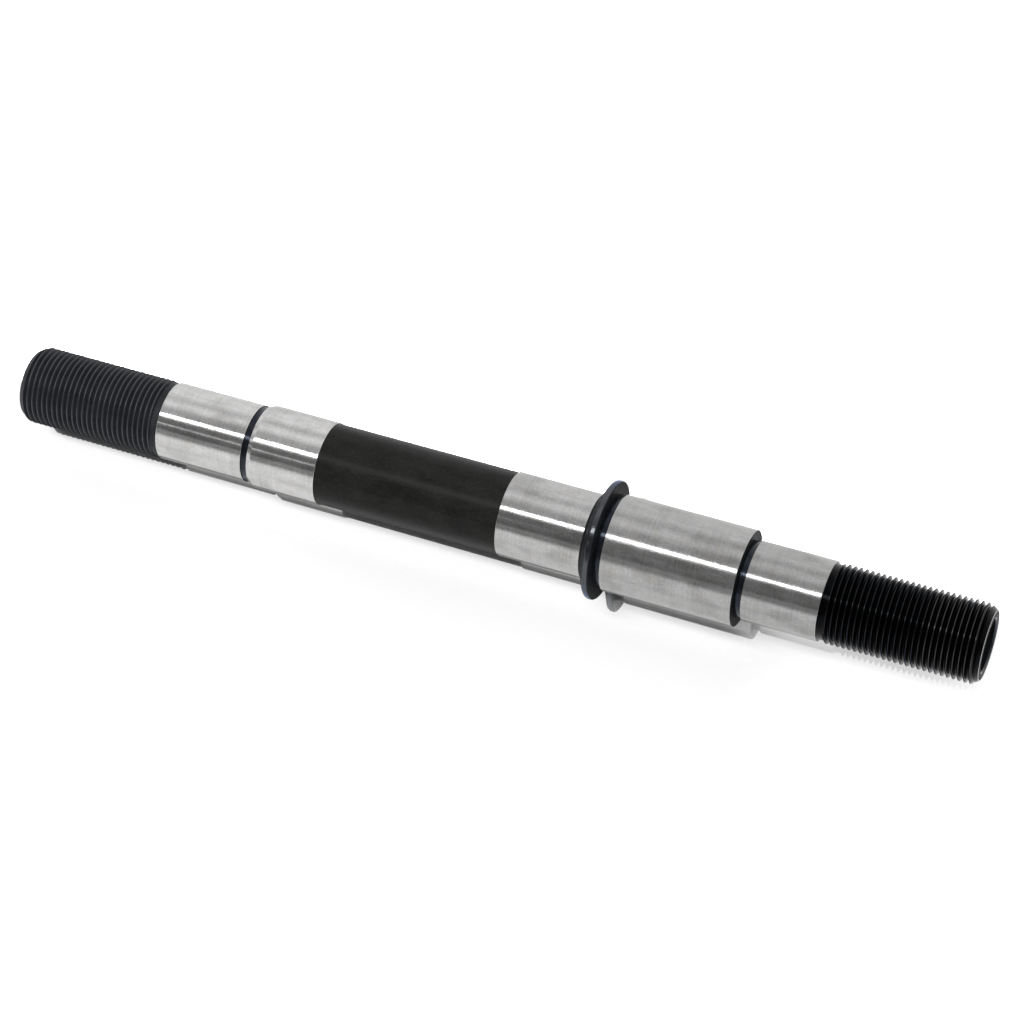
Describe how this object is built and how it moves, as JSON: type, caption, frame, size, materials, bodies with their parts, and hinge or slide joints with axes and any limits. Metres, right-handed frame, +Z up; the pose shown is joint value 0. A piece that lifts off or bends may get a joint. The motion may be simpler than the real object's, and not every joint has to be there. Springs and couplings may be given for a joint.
{
  "type": "bicycle hub axle",
  "caption": "Hollow turned steel axle for a bicycle rear hub, with fine-threaded ends, ground bearing seats, a stop collar and a stepped driver side.",
  "frame": {"origin": "on the axle's own axis, at the middle of its length", "axes": "+X runs along the axis towards the driver side, past the collar; +Z is up as the axle lies on its collar and its left end"},
  "size_m": [0.1774, 0.0208, 0.0208],
  "materials": {
    "axle_steel": "black oxide, with the bearing and driver seats ground bright"
  },
  "bodies": {
    "root": {"hub_axle": "axle_steel"}
  },
  "joints": []
}
